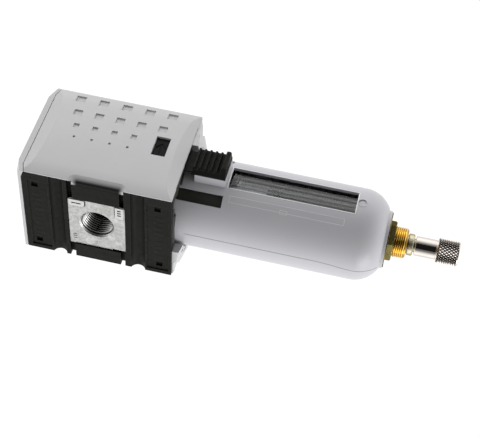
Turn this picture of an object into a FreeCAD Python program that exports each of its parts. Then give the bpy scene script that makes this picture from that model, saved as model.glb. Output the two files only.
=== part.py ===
import FreeCAD, Part
import math
import os

# Modular air filter for a compressed-air line: zinc valve body with two
# threaded ports, moulded frames and covers, bayonet bowl guard with a clear
# reservoir, sliding bowl lock and a screw-operated drain.
#
# Frame: +Z up, millimetres.  The origin is where the port axis (X) crosses
# the bowl axis (Z).  The inlet faces -X, the outlet faces +X, the front
# cover and the bowl lock face -Y.

V = FreeCAD.Vector

# ---------------------------------------------------------------- dimensions
half_w = 30.0            # half module width, port face to port face
y_front = -29.4          # front edge of the side frames
y_back = 27.0            # back edge of the side frames
z_under = -38.9          # underside of the head
z_top = 37.6             # top of frames and covers
cap_gap = 0.3            # shadow gap under the top cap
cap_top = 40.8           # top of the head
frame_in = 25.4          # inner face of the side frames
frame_in_low = 27.1      # inner face beside the bowl carrier
carrier_top = -26.0      # top of the bowl carrier
carrier_half = 27.0      # half width of the bowl carrier

cover_edge_y = -30.0     # cover surface at its side edges
cover_mid_y = -32.0      # cover surface at the middle (crown)
cover_knee_x = 21.7      # where the crown turns down to the side edge
cover_knee_y = -31.4
facet_len = 6.5          # height of the bevel facets at the middle

port_face = 29.4         # port plate face
port_r = 8.331           # G 3/8 thread, major radius
port_depth = 12.0        # threaded depth
port_chamfer_r = 9.15    # mouth chamfer
bore_r = 6.5             # air passage
riser_r = 8.0            # clean-air riser in the middle
ring_r0, ring_r1 = 12.2, 17.6   # dirty-air passage round the riser

guard_r = 23.4           # bowl guard, outside
guard_in = 21.6          # bowl guard, inside
guard_top = -30.0
lug_r = 25.2             # bayonet lugs
lug_half_deg = 16.0
chamber_r = 25.6         # bayonet chamber in the carrier
neck_bore_r = 23.7       # carrier bore round the guard
ledge_z = -33.4          # bayonet ledge
chamber_top = -28.8
shoulder_c = (8.5, -128.6)   # centre of the bottom shoulder (r, z)
shoulder_R = 14.9        # guard shoulder, outside
rim_r = 14.7             # rim at the guard's lower end
guard_end = -143.6
window_half = 7.0        # sight window half width
window_z0, window_z1 = -125.6, -61.5
slot_a0, slot_a1 = 28.9, 44.8     # guard side slots, degrees from the front
slot_z0, slot_z1 = -60.3, -36.5

skirt_r, skirt_in = 21.3, 19.3    # carrier skirt inside the guard
skirt_end = -61.0
neck_r, neck_in = 19.0, 16.2      # reservoir neck
res_r, res_in = 21.2, 18.7        # reservoir body
res_top = -44.0
element_r, element_in = 13.0, 9.0
element_z0, element_z1 = -80.0, -45.5

latch_half = 8.0         # bowl lock half width
latch_travel = 5.0       # bowl lock pull
twist_deg = 45.0         # bayonet twist
tongue_half = 6.8

nut_af = 18.4            # drain nut across flats
sleeve_r = 8.0           # drain body thread, M16 x 1
collar_r = 5.5
barrel_r = 5.0
knob_r = 6.4
knob_z0, knob_z1 = -180.0, -168.8
barrel_top = -157.7
collar_z0, collar_z1 = -156.9, -153.9
drain_pitch = 0.75       # lead of the drain screw


# ------------------------------------------------------------------- helpers
def box(x0, x1, y0, y1, z0, z1):
    return Part.makeBox(x1 - x0, y1 - y0, z1 - z0, V(x0, y0, z0))


def cyl(r, z0, z1, x=0.0, y=0.0):
    return Part.makeCylinder(r, z1 - z0, V(x, y, z0))


def cyl_x(r, x0, x1, y=0.0, z=0.0):
    return Part.makeCylinder(r, x1 - x0, V(x0, y, z), V(1, 0, 0))


def cyl_y(r, y0, y1, x=0.0, z=0.0):
    return Part.makeCylinder(r, y1 - y0, V(x, y0, z), V(0, 1, 0))


def tube(r1, r0, z0, z1):
    return cyl(r1, z0, z1).cut(cyl(r0, z0 - 1, z1 + 1))


def revolve(pts):
    """Full turn about Z of a closed (r, z) polygon."""
    w = Part.makePolygon([V(r, 0, z) for r, z in pts] + [V(pts[0][0], 0, pts[0][1])])
    return Part.Face(w).revolve(V(0, 0, 0), V(0, 0, 1), 360)


def revolve_edges(edges):
    return Part.Face(Part.Wire(edges)).revolve(V(0, 0, 0), V(0, 0, 1), 360)


def line(a, b):
    return Part.LineSegment(V(a[0], 0, a[1]), V(b[0], 0, b[1])).toShape()


def arc(a, m, b):
    return Part.Arc(V(a[0], 0, a[1]), V(m[0], 0, m[1]), V(b[0], 0, b[1])).toShape()


def sector(r1, r0, a0, a1, z0, z1):
    """Ring sector; angles in degrees from the front (-Y), + toward +X."""
    def p(r, a):
        t = math.radians(a)
        return V(r * math.sin(t), -r * math.cos(t), z0)
    am = 0.5 * (a0 + a1)
    e = [Part.LineSegment(p(r0, a0), p(r1, a0)).toShape(),
         Part.Arc(p(r1, a0), p(r1, am), p(r1, a1)).toShape(),
         Part.LineSegment(p(r1, a1), p(r0, a1)).toShape(),
         Part.Arc(p(r0, a1), p(r0, am), p(r0, a0)).toShape()]
    return Part.Face(Part.Wire(e)).extrude(V(0, 0, z1 - z0))


def prism_yz(pts, x0, x1):
    w = Part.makePolygon([V(x0, y, z) for y, z in pts] + [V(x0, pts[0][0], pts[0][1])])
    return Part.Face(w).extrude(V(x1 - x0, 0, 0))


def prism_xy(pts, z0, z1):
    w = Part.makePolygon([V(x, y, z0) for x, y in pts] + [V(pts[0][0], pts[0][1], z0)])
    return Part.Face(w).extrude(V(0, 0, z1 - z0))


def above_plane(point, normal, size=60.0, depth=40.0):
    """Block that fills the side of a plane toward its normal."""
    b = Part.makeBox(size, size, depth, V(-size / 2, -size / 2, 0))
    b.Placement = FreeCAD.Placement(V(*point), FreeCAD.Rotation(V(0, 0, 1), V(*normal)))
    return b


def round_edges(shape, r, test):
    """Fillet the edges that the test picks."""
    es = [e for e in shape.Edges if test(e)]
    return shape.makeFillet(r, es) if es else shape


def is_along(e, axis):
    if not isinstance(e.Curve, Part.Line):
        return False
    d = e.Curve.Direction
    return abs(abs((d.x, d.y, d.z)[axis]) - 1) < 1e-6


def mirror_x(s):
    return s.mirror(V(0, 0, 0), V(1, 0, 0))


def spring(coil_r, wire_r, z0, z1, turns, x=0.0, y=0.0):
    """Compression spring with flat outline, from z0 to z1 over the wire."""
    lo, hi = z0 + wire_r, z1 - wire_r
    helix = Part.makeHelix((hi - lo) / turns, hi - lo, coil_r)
    prof = Part.Wire([Part.makeCircle(wire_r, V(coil_r, 0, 0), V(0, 1, 0))])
    s = Part.Wire(helix.Edges).makePipeShell([prof], True, True)
    s.translate(V(x, y, lo))
    return s


def hexagon(af, z0, z1):
    rc = af / math.sqrt(3.0)
    pts = [(rc * math.cos(math.radians(60 * k + 30)), rc * math.sin(math.radians(60 * k + 30)))
           for k in range(6)]
    return prism_xy(pts, z0, z1)


parts = {}

# ---------------------------------------------------------------- valve body
core = box(-25.3, 25.3, -24, 24, carrier_top + 0.1, 28)
core = round_edges(core, 2.5, lambda e: is_along(e, 2))


def port_boss():
    b = box(-port_face, -24.0, -16.7, 17.2, -14.8, 14.6)
    b = b.cut(box(-30, -27.5, 16.4, 18, -15, -8.0))
    b = round_edges(b, 1.6, lambda e: is_along(e, 0) and e.BoundBox.YMin < -16)
    # raised pads in two corners of the plate, each with a sunk outline
    xf = -port_face

    def pad(x0, x1, grow, y0, y1, z0, z1, r, test):
        q = box(x0, x1, y0, y1 + grow, z0 - (grow if z0 > 0 else 0.0), z1 + (grow if z0 < 0 else 0.0))
        return round_edges(q, r + grow, lambda e: is_along(e, 0) and test(e))
    for y0, y1, z0, z1, r, test in (
            (-16.1, -11.6, 5.9, 14.1, 2.0, lambda e: e.BoundBox.ZMax < 7 and e.BoundBox.YMin > -13),
            (-16.1, -8.0, -14.2, -9.8, 2.0, lambda e: e.BoundBox.ZMin > -11 and e.BoundBox.YMin > -9)):
        b = b.cut(pad(xf - 1, xf + 0.45, 0.5, y0, y1, z0, z1, r, test))
        b = b.fuse(pad(xf - 0.4, xf + 0.6, 0.0, y0, y1, z0, z1, r, test))
    b = b.cut(box(xf - 1, xf + 0.3, -14.2, -13.5, 7.6, 12.6))
    # small cast marks
    for k in range(3):
        b = b.cut(box(xf - 1, xf + 0.0, -14.6 + 1.7 * k, -13.8 + 1.7 * k, -12.9, -11.0))
        b = b.fuse(box(xf - 0.18, xf + 0.2, 10.4 + 1.5 * k, 11.1 + 1.5 * k, 10.6, 12.8))
    return b.removeSplitter()


boss = port_boss()
body = core.fuse([boss, mirror_x(boss)])
inlet = [cyl_x(port_r, -31, -port_face + port_depth),
         Part.makeCone(port_chamfer_r + 0.6, port_r - 0.1, port_chamfer_r + 0.7 - port_r,
                       V(-port_face - 0.6, 0, 0), V(1, 0, 0)),
         cyl_x(bore_r, -port_face + port_depth - 0.5, -14.0)]
body = body.cut(inlet)
body = body.cut([mirror_x(s) for s in inlet])
body = body.cut([cyl_x(bore_r, 0, 18.0),
                 cyl(riser_r, carrier_top - 1, 7.0),
                 sector(ring_r1, ring_r0, -165, -15, carrier_top - 1, 5.0),
                 cyl(2.05, 5, 13.0)])
# peg holes for the side frames, screw holes for the carrier
frame_peg_yz = [(-18.5, 20.2), (18.5, 20.2), (-14.0, -21.5), (14.0, -21.5)]
carrier_screw_xy = [(-22.3, -20.8), (22.3, -20.8), (-22.3, 20.8), (22.3, 20.8)]
body = body.cut([cyl_x(1.6, -26, -20.0, y, z) for y, z in frame_peg_yz])
body = body.cut([cyl_x(1.6, 20.0, 26, y, z) for y, z in frame_peg_yz])
body = body.cut([cyl(1.76, carrier_top - 1, -17.0, x, y) for x, y in carrier_screw_xy])
# coring that keeps the casting walls even
body = body.cut([box(x0, x0 + 13.0, y0, y0 + 12.0, z0, 29.0)
                 for x0, y0, z0 in ((-23.5, -22.0, 10.6), (10.5, -22.0, 10.6), (-23.5, 10.0, 10.6), (10.5, 10.0, 10.6))])
body = body.cut([box(-8.0, 8.0, y0, y0 + 10.5, -6.0, 29.0) for y0 in (-22.3, 11.8)])
# groove for the face seal between body and carrier
body = body.cut(tube(20.6, 19.0, carrier_top, carrier_top + 1.3))
parts['valve_body'] = body

# --------------------------------------------------------------- side frames
tri_n = (-1.0, -1.0, 2.75)          # slope of the clipped top front corner
tri_p = (-30.0, -27.6, z_top - 0.85)


def side_frame():
    f = box(-half_w, -frame_in, y_front, y_back, carrier_top + 0.1, z_top)
    f = f.fuse(box(-half_w, -frame_in_low, y_front, y_back, z_under, carrier_top + 0.2))
    cuts = []
    # clamp grooves that join neighbouring modules
    for zc, hw, d in ((20.2, 3.5, 2.6), (-21.5, 3.7, 2.6)):
        R = (hw * hw + d * d) / (2 * d)
        cuts.append(cyl_y(R, y_front - 1, y_back + 1, -half_w - (R - d), zc))
    # narrow key grooves above and below the port plate
    cuts.append(box(-31, -27.0, y_front - 1, y_back + 1, 11.8, 14.6))
    cuts.append(box(-31, -27.0, y_front - 1, y_back + 1, -14.6, -12.2))
    # opening for the port plate
    cuts.append(box(-31, -25, -17.0, 17.5, -15.1, 14.9))
    # seat for the cover tab
    cuts.append(box(-31, -27.4, y_front - 1, -27.0, -14.7, 12.1))
    # sunk panels
    cuts.append(box(-31, -29.5, -24.0, 24.5, 24.6, 35.0))
    cuts.append(box(-31, -29.5, -24.0, 24.5, -37.6, -26.0))
    # square location pits
    for y0, y1, z0, z1 in ((-22.9, -19.5, 29.6, 33.0), (18.5, 22.0, 29.6, 33.0),
                           (-22.9, -19.5, -33.3, -29.9), (18.5, 22.0, -34.3, -30.9)):
        cuts.append(box(-31, -28.4, y0, y1, z0, z1))
    # hollow behind the upper block
    cuts.append(box(-27.9, -25, -26.5, 24.0, 25.0, z_top - 1.6))
    # slots for the studs of the top cap
    cuts += [box(-27.8, -25.0, y0 - 0.1, y0 + 6.1, z_top - 2.0, z_top + 1) for y0 in (-20.0, 12.0)]
    f = f.cut(cuts)
    f = f.cut(above_plane(tri_p, tri_n))
    # pegs that snap into the valve body
    f = f.fuse([cyl_x(1.55, -frame_in - 0.3, -20.6, y, z) for y, z in frame_peg_yz])
    # evenly spaced mould ribs in the sunk panels
    for k in range(9):
        yy = -15.0 + 3.6 * k
        f = f.fuse(box(-29.55, -29.2, yy, yy + 1.2, 28.2, 32.6))
        f = f.fuse(box(-29.55, -29.2, yy, yy + 1.2, -34.6, -30.2))
    return f.removeSplitter()


frame_l = side_frame()
parts['side_frame_inlet'] = frame_l
parts['side_frame_outlet'] = mirror_x(frame_l)


# --------------------------------------------------------------- front cover
def crown_y(x):
    ax = abs(x)
    if ax <= cover_knee_x:
        return cover_mid_y + (cover_knee_y - cover_mid_y) * (ax / cover_knee_x) ** 2
    t = (ax - cover_knee_x) / (half_w - cover_knee_x)
    a = 2 * (cover_knee_y - cover_mid_y) / cover_knee_x * (half_w - cover_knee_x)
    b = (cover_edge_y - cover_knee_y) - a
    return cover_knee_y + a * t + b * t * t


def cover_shell(z0, z1):
    xs = [-half_w, -27.5, -25.0, -23.0, -21.0, -15.0, -8.0, 0.0, 8.0, 15.0, 21.0, 23.0, 25.0, 27.5, half_w]
    sp = Part.BSplineCurve()
    sp.interpolate([V(x, crown_y(x), z0) for x in xs])
    e = [sp.toShape(),
         Part.LineSegment(V(half_w, cover_edge_y, z0), V(half_w, y_front, z0)).toShape(),
         Part.LineSegment(V(half_w, y_front, z0), V(-half_w, y_front, z0)).toShape(),
         Part.LineSegment(V(-half_w, y_front, z0), V(-half_w, cover_edge_y, z0)).toShape()]
    s = Part.Face(Part.Wire(e)).extrude(V(0, 0, z1 - z0))
    # bevel facets at the two ends of the crown
    dy = cover_edge_y - cover_mid_y
    s = s.cut(prism_yz([(cover_edge_y, z0 - 0.01), (cover_mid_y - dy, z0 + 2 * facet_len),
                        (cover_mid_y - 6, z0 + 2 * facet_len), (cover_mid_y - 6, z0 - 0.01)], -31, 31))
    s = s.cut(prism_yz([(cover_edge_y, z1 + 0.01), (cover_mid_y - dy, z1 - 2 * facet_len),
                        (cover_mid_y - 6, z1 - 2 * facet_len), (cover_mid_y - 6, z1 + 0.01)], -31, 31))
    return s


cover = cover_shell(z_under, z_top)
cover = cover.cut(box(-21.8, 21.8, -30.0, -29.0, z_under - 1, z_top - 1.5))
for sx in (-1, 1):
    tab = box(-half_w, -27.6, -29.6, -27.2, -14.5, 11.9)
    if sx > 0:
        tab = mirror_x(tab)
    cover = cover.fuse(tab)
# scooped edge over the inlet plate
scoop_x, scoop_y, scoop_R = -32.24, -37.67, 9.0
scoop = cyl(scoop_R, -11.9, 9.7, scoop_x, scoop_y)
scoop = scoop.fuse([Part.makeSphere(scoop_R, V(scoop_x, scoop_y, z)) for z in (-11.9, 9.7)])
cover = cover.cut(scoop)
pockets = []
# rows of square recesses, smaller toward the inlet side: (x0, x1, z edge list, side)
rows = [(22.4, 26.9, (26.4, 14.1, 1.8, -10.4, -22.3), 5.0),
        (12.2, 16.3, (24.4, 13.2, 2.1, -9.0, -20.2), 4.4),
        (3.5, 6.4, (21.6, 11.8, 1.7, -8.4), 2.9)]
for x0, x1, zs, side in rows:
    floor = min(max(crown_y(x0), crown_y(x1)) + 0.75, -30.05)
    for zt in zs:
        pockets.append(box(x0, x1, -34, floor, zt - side, zt))
for zt in (19.0, 9.8, 0.5, -8.7):
    pockets.append(cyl_y(0.7, -34, crown_y(-2.8) + 0.9, -2.8, zt))
# window for the flow arrow
arrow_x0, arrow_x1, arrow_z0, arrow_z1 = -4.2, 8.8, -28.2, -21.0
pockets.append(box(arrow_x0, arrow_x1, -34, -29, arrow_z0, arrow_z1))
cover = cover.cut(pockets)
cover = cover.cut(above_plane(tri_p, tri_n)).cut(mirror_x(above_plane(tri_p, tri_n)))


def wing(sx, sy, y_lim):
    """Corner apron under the head; sx, sy give the corner."""
    w = box(9.5, 28.6, 9.5, y_lim, z_under - 4.2, z_under)
    w = w.cut(cyl(24.5, z_under - 6, z_under + 1))
    # sloped underside, lower beside the guard than at the corner
    n = (1.0, 1.0, -6.3)
    w = w.cut(above_plane((17.4, 17.4, z_under - 3.9), n))
    # outer rim cut back so that the apron reads as a fin and a thin plate
    w = w.cut(prism_xy([(30, 16.5), (30, 31), (16.5, 31)], z_under - 6, z_under - 0.9))
    # relief pocket and slot in the fin
    w = w.cut(box(19.6, 21.8, 14.2, 17.6, z_under - 6, z_under - 0.9))
    w = w.cut(box(14.2, 17.6, 19.6, 21.8, z_under - 6, z_under - 0.9))
    m = FreeCAD.Matrix()
    m.scale(V(sx, sy, 1))
    return w.transformGeometry(m) if (sx, sy) != (1, 1) else w


def wing_at(front):
    w = wing(1, 1, 29.9 if front else 26.9)
    if front:
        return w.mirror(V(0, 0, 0), V(0, 1, 0))      # to +X, -Y
    return w.mirror(V(0, 0, 0), V(1, 0, 0))          # to -X, +Y


cover = cover.fuse(wing_at(True))
parts['front_cover'] = cover.removeSplitter()

# flow-arrow tile behind the window
tile = box(arrow_x0 - 1.4, arrow_x1 + 1.4, -29.9, -28.4, arrow_z0 - 1.4, arrow_z1 + 1.4)
tile = tile.fuse(box(arrow_x0 + 0.12, arrow_x1 - 0.12, -30.7, -29.5, arrow_z0 + 0.12, arrow_z1 - 0.12))
# engraved chevron arrow that points to the outlet
cx, cz = 0.5 * (arrow_x0 + arrow_x1), 0.5 * (arrow_z0 + arrow_z1)
chev = prism_xy([(0, 0), (1, 0), (1, 1)], 0, 1)
pts = [(cx + 3.4, cz), (cx + 0.2, cz + 2.7), (cx - 1.2, cz + 2.7), (cx + 1.5, cz + 0.45),
       (cx - 4.6, cz + 0.45), (cx - 4.6, cz - 0.45), (cx + 1.5, cz - 0.45), (cx - 1.2, cz - 2.7),
       (cx + 0.2, cz - 2.7)]
w = Part.makePolygon([V(x, -31.5, z) for x, z in pts] + [V(pts[0][0], -31.5, pts[0][1])])
arrow = Part.Face(w).extrude(V(0, 1.2, 0))
tile = tile.cut(arrow)
parts['flow_arrow_tile'] = tile

# ---------------------------------------------------------------- back cover
back = box(-25.2, 25.2, 24.4, 26.9, z_under, z_top)
back = back.cut(box(-20.0, 20.0, 26.3, 28, -24.0, 30.0))
for k in range(5):
    back = back.fuse(box(-14.0, 14.0, 26.2, 26.75, -17.6 + 10 * k, -16.4 + 10 * k))
back = back.cut(box(-23.4, 23.4, 24.0, 25.0, z_under + 2.5, z_top - 2.5))
back = back.cut(box(-11.0, 11.0, 24.0, 25.8, -35.2, -28.4))
parts['back_cover'] = back.fuse(wing_at(False)).removeSplitter()

# ------------------------------------------------------------------- top cap
cap = box(-half_w, half_w, -30.0, y_back, z_top + cap_gap, cap_top)
# long side bevels
for sx in (-1, 1):
    bev = Part.Face(Part.makePolygon([V(sx * 30.2, -31, 39.25), V(sx * 26.4, -31, 41.0), V(sx * 30.2, -31, 41.0),
                                      V(sx * 30.2, -31, 39.25)])).extrude(V(0, 60, 0))
    cap = cap.cut(bev)
# clipped front corners with their turned-down lips
lip = box(-30.0, -24.5, -30.0, -24.5, z_top - 2.0, z_top + cap_gap + 0.2)
lip = lip.common(above_plane((tri_p[0], tri_p[1], tri_p[2] + 0.32), tri_n))
top_clip = above_plane((-30.0, -27.6, cap_top - 1.75), tri_n)
cap = cap.fuse([lip, mirror_x(lip)]).cut([top_clip, mirror_x(top_clip)])
cap = cap.cut(box(-24.0, 24.0, -24.5, 22.0, z_top - 1, z_top + cap_gap + 1.2))
# snap studs into the hollow upper blocks of the side frames
for sx in (-1, 1):
    for y0 in (-20.0, 12.0):
        x0, x1 = sorted((sx * 27.7, sx * 25.6))
        cap = cap.fuse(box(x0, x1, y0, y0 + 6.0, z_top - 3.0, z_top + cap_gap + 0.5))
parts['top_cap'] = cap.removeSplitter()

# --------------------------------------------------------------- bowl carrier
carrier = box(-carrier_half, carrier_half, -29.3, 24.2, z_under, carrier_top)
carrier = carrier.fuse(box(-21.6, 21.6, -29.8, -29.0, z_under, carrier_top))
carrier = carrier.cut([cyl(neck_bore_r, z_under - 1, ledge_z + 0.1),
                       cyl(chamber_r, ledge_z, chamber_top)])
# recess for the flow-arrow tile
carrier = carrier.cut(box(arrow_x0 - 1.6, arrow_x1 + 1.6, -30.5, -28.2, arrow_z0 - 1.6, carrier_top + 1))
# bayonet entry gaps
carrier = carrier.cut([sector(chamber_r, 22.0, a - 18.5, a + 18.5, z_under - 1, ledge_z + 0.1)
                       for a in (-twist_deg, 180.0 - twist_deg)])
# pocket for the lock tongue, open in the direction of the twist
carrier = carrier.cut(sector(29.6, 25.1, -twist_deg - 18.0, 16.9, z_under - 1, -34.2))
# skirt and hub
carrier = carrier.fuse(tube(skirt_r, skirt_in, skirt_end, chamber_top + 0.5))
carrier = carrier.fuse(tube(11.0, riser_r, res_top, chamber_top + 0.5))
# air passages
ringcut = [sector(17.6, 11.6, a + 8, a + 112, chamber_top - 1, carrier_top + 1) for a in (-180, -60, 60)]
carrier = carrier.cut(ringcut).cut(cyl(riser_r, z_under, carrier_top + 1))
carrier = carrier.cut([cyl(1.9, z_under - 1, carrier_top + 1, x, y) for x, y in carrier_screw_xy])
carrier = carrier.cut([cyl(3.4, z_under - 1, -31.0, x, y) for x, y in carrier_screw_xy])
parts['bowl_carrier'] = carrier


def carrier_screw(x, y):
    s = cyl(3.2, -34.0, -31.0, x, y).fuse(cyl(1.75, -31.2, -18.0, x, y))
    return s.cut(hexagon(3.0, -34.5, -32.4).translated(V(x, y, 0)))


parts['carrier_screws'] = Part.makeCompound([carrier_screw(x, y) for x, y in carrier_screw_xy])

# face seal between valve body and carrier
parts['body_seal'] = tube(20.5, 19.1, carrier_top + 0.02, carrier_top + 1.28)

# ------------------------------------------------------------ swirl vane ring
vane = tube(12.6, 11.1, -43.4, -36.0)
blade = prism_xy([(12.2, -0.6), (18.9, -0.6), (18.9, 0.6), (12.2, 0.6)], 0, 9.0)
for k in range(12):
    b = Part.makeBox(6.6, 1.2, 11.0, V(12.2, -0.6, -45.2))
    b = b.rotated(V(15, 0, -39.7), V(1, 0, 0), 35)
    b = b.rotated(V(0, 0, 0), V(0, 0, 1), 30 * k)
    vane = vane.fuse(b)
vane = vane.common(tube(19.2, 11.1, -43.4, -36.0))
parts['swirl_vane'] = vane.removeSplitter()

# ------------------------------------------------------------- filter element
gask = tube(element_r, riser_r + 0.3, element_z1, res_top - 0.02)
gask2 = tube(element_r, riser_r + 0.3, element_z0 - 1.5, element_z0)
parts['element_gaskets'] = Part.makeCompound([gask, gask2])
elem = tube(element_r, element_in, element_z0, element_z1)
# shallow ring grooves of the sintered sleeve
n_rings = 8
pitch = (element_z1 - element_z0) / n_rings
for k in range(1, n_rings):
    z = element_z0 + pitch * k
    elem = elem.cut(tube(element_r + 1, element_r - 0.5, z - 0.6, z + 0.6))
parts['filter_element'] = elem

baffle = revolve([(2.1, -81.5), (14.6, -81.5), (14.6, -86.5), (13.6, -86.5), (13.6, -83.5), (2.1, -83.5)])
parts['baffle'] = baffle
rod = cyl(2.0, -91.0, 12.5)
parts['tie_rod'] = rod.makeChamfer(0.4, [e for e in rod.Edges if e.BoundBox.ZMax < -90.9])
nut = hexagon(8.0, -87.6, -83.5).cut(cyl(2.0, -89, -83))
nut = nut.fuse(tube(4.0, 2.0, -88.4, -87.5))
parts['element_nut'] = nut

# ----------------------------------------------------------------- bowl guard
cr, cz0 = shoulder_c


def on_arc(R, deg):
    t = math.radians(deg)
    return (cr + R * math.cos(t), cz0 - R * math.sin(t))


rim_a = math.degrees(math.acos((rim_r - cr) / shoulder_R))
R_in = guard_in - cr
end_in = (cr, cz0 - R_in)
edges = [line((guard_in, guard_top), (guard_r, guard_top)),
         line((guard_r, guard_top), (guard_r, cz0)),
         arc((guard_r, cz0), on_arc(shoulder_R, rim_a / 2), on_arc(shoulder_R, rim_a)),
         line(on_arc(shoulder_R, rim_a), (rim_r, guard_end)),
         line((rim_r, guard_end), (sleeve_r + 0.1, guard_end)),
         line((sleeve_r + 0.1, guard_end), (sleeve_r + 0.1, end_in[1])),
         line((sleeve_r + 0.1, end_in[1]), end_in),
         arc(end_in, on_arc(R_in, 45), (guard_in, cz0)),
         line((guard_in, cz0), (guard_in, guard_top))]
guard = revolve_edges(edges)
# raised pad that carries the lock
pad = box(-7.6, 7.6, -27.4, -21.9, slot_z0, -44.5)
pad = pad.cut(cyl(guard_in + 0.3, slot_z0 - 1, -44))
guard = guard.fuse(pad)
# bayonet lugs, front and back
for a in (0.0, 180.0):
    guard = guard.fuse(sector(lug_r, guard_r - 0.4, a - lug_half_deg, a + lug_half_deg, -33.1, -30.2))
# T-slot in the pad for the lock foot
guard = guard.cut([box(-2.5, 2.5, -28, -25.4, -59.4, -44.0),
                   box(-4.5, 4.5, -25.9, -23.9, -59.4, -44.0)])
# sight window and side slots
guard = guard.cut(box(-window_half, window_half, -24, -19, window_z0, window_z1))
for a0, a1 in ((slot_a0, slot_a1), (-slot_a1, -slot_a0)):
    guard = guard.cut(sector(guard_r + 1, guard_in - 1, a0, a1, slot_z0, slot_z1))
# dimple under the window
guard = guard.cut(cyl_y(2.4, -24.5, -22.9, 0, -128.6 + 0.4))
parts['bowl_guard'] = guard

# ------------------------------------------------------------ clear reservoir
Ro, Ri = res_r - cr, res_in - cr
o_end, i_end = (cr, cz0 - Ro), (cr, cz0 - Ri)
edges = [line((neck_in, res_top), (neck_r, res_top)),
         line((neck_r, res_top), (neck_r, -47.2)),
         line((neck_r, -47.2), (neck_r - 1.5, -47.2)),
         line((neck_r - 1.5, -47.2), (neck_r - 1.5, -49.2)),
         line((neck_r - 1.5, -49.2), (neck_r, -49.2)),
         line((neck_r, -49.2), (neck_r, skirt_end - 0.4)),
         line((neck_r, skirt_end - 0.4), (res_r, skirt_end - 1.4)),
         line((res_r, skirt_end - 1.4), (res_r, cz0)),
         arc((res_r, cz0), on_arc(Ro, 45), o_end),
         line(o_end, (sleeve_r + 0.1, o_end[1])),
         line((sleeve_r + 0.1, o_end[1]), (sleeve_r + 0.1, i_end[1])),
         line((sleeve_r + 0.1, i_end[1]), i_end),
         arc(i_end, on_arc(Ri, 45), (res_in, cz0)),
         line((res_in, cz0), (res_in, -65.0)),
         line((res_in, -65.0), (neck_in, -61.5)),
         line((neck_in, -61.5), (neck_in, res_top))]
parts['reservoir'] = revolve_edges(edges)
seal = Part.makeTorus(neck_r - 0.72, 0.95, V(0, 0, -48.2))
parts['bowl_seal'] = seal.common(tube(skirt_in - 0.06, neck_r - 1.5, -49.15, -47.25))

# --------------------------------------------------------------- drain valve
z_floor = i_end[1]
z_seat = z_floor + 3.9
flange_z0 = z_floor + 1.3
parts['drain_gasket'] = tube(10.4, sleeve_r + 0.1, z_floor + 0.02 + 0.2, flange_z0)
db = cyl(11.0, flange_z0, z_seat)
db = db.fuse(cyl(sleeve_r, -153.5, flange_z0 + 0.5))
db = db.cut([cyl(2.2, -140.0, z_seat + 1),
             cyl(3.5, -150.4, -140.0),
             cyl(4.6, -154, -150.4)])
db = db.makeChamfer(0.6, [e for e in db.Edges if abs(e.BoundBox.ZMax + 153.5) < 1e-3 and e.BoundBox.XLength > 15])
parts['drain_body'] = db
nut = hexagon(nut_af, guard_end - 3.3, guard_end).rotated(V(0, 0, 0), V(0, 0, 1), 7)
cone = Part.makeCone(9.6, 14.4, 3.3, V(0, 0, guard_end - 3.3))
nut = nut.common(cone).fuse(cyl(14.0, guard_end - 0.45, guard_end)).cut(cyl(sleeve_r, guard_end - 4, guard_end + 1))
parts['drain_hex_nut'] = nut
col = cyl(collar_r, collar_z0, collar_z1).fuse(cyl(4.55, collar_z1 - 0.2, -150.45))
col = col.fuse(cyl(3.4, -164.6, collar_z0 + 0.2)).cut(cyl(1.8, -166, -150))
parts['drain_collar'] = col

stem_top = z_seat + 2.6
stem = cyl(1.2, -171.9, stem_top)
stem = stem.fuse([cyl(2.6, z_seat + 1.75, stem_top),           # head over the valve disc
                  cyl(2.9, -150.2, -149.2),                    # spring flange
                  cyl(2.3, -166.9, -165.9)])                   # thrust flange on the screw
stem = stem.cut(tube(1.3, 0.9, -171.6, -171.0))
parts['drain_stem'] = stem
parts['drain_valve_disc'] = tube(3.6, 1.2, z_seat + 0.03, z_seat + 1.75)
parts['stem_clip'] = tube(2.3, 0.92, -171.55, -171.05).cut(box(-0.7, 0.7, 0, 3, -172, -171))
parts['drain_spring'] = spring(2.45, 0.3, -149.18, -140.02, 6)

knob = cyl(barrel_r, knob_z1, barrel_top).fuse(cyl(knob_r, knob_z0, knob_z1))
knob = knob.makeChamfer(0.7, [e for e in knob.Edges if isinstance(e.Curve, Part.Circle) and e.Curve.Radius > 6])
knob = knob.cut([cyl(3.7, -167.0, barrel_top + 1), cyl(1.3, -172, -166), cyl(3.4, knob_z0 - 1, -173.0), cyl(3.0, -174.0, -171.0)])
knob = knob.cut([cyl(0.5, -172, -166, 2.45 * math.cos(a), 2.45 * math.sin(a))
                 for a in (0.5, 0.5 + 2.0944, 0.5 + 4.1888)])
parts['drain_knob'] = knob

# ------------------------------------------------------------------ bowl lock
lock = box(-latch_half, latch_half, -29.0, -27.6, -60.1, -43.0)
lock = lock.fuse(box(-latch_half, latch_half, -30.5, -28.8, -59.9, -43.3))      # raised grip pad
for zc in (-43.9, -46.7, -49.5, -52.3, -55.1):
    rib = prism_yz([(-30.3, zc - 0.8), (-31.7, zc - 0.6), (-32.0, zc - 0.3), (-32.0, zc + 0.2),
                    (-31.7, zc + 0.45), (-30.3, zc + 0.6)], -latch_half, latch_half)
    lock = lock.fuse(rib)
ridge = prism_yz([(-28.8, -59.9), (-33.6, -59.9), (-34.2, -59.3), (-34.2, -58.2), (-33.7, -57.6),
                  (-30.3, -56.9), (-28.8, -56.9)], -latch_half, latch_half)
lock = lock.fuse(ridge)
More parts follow.
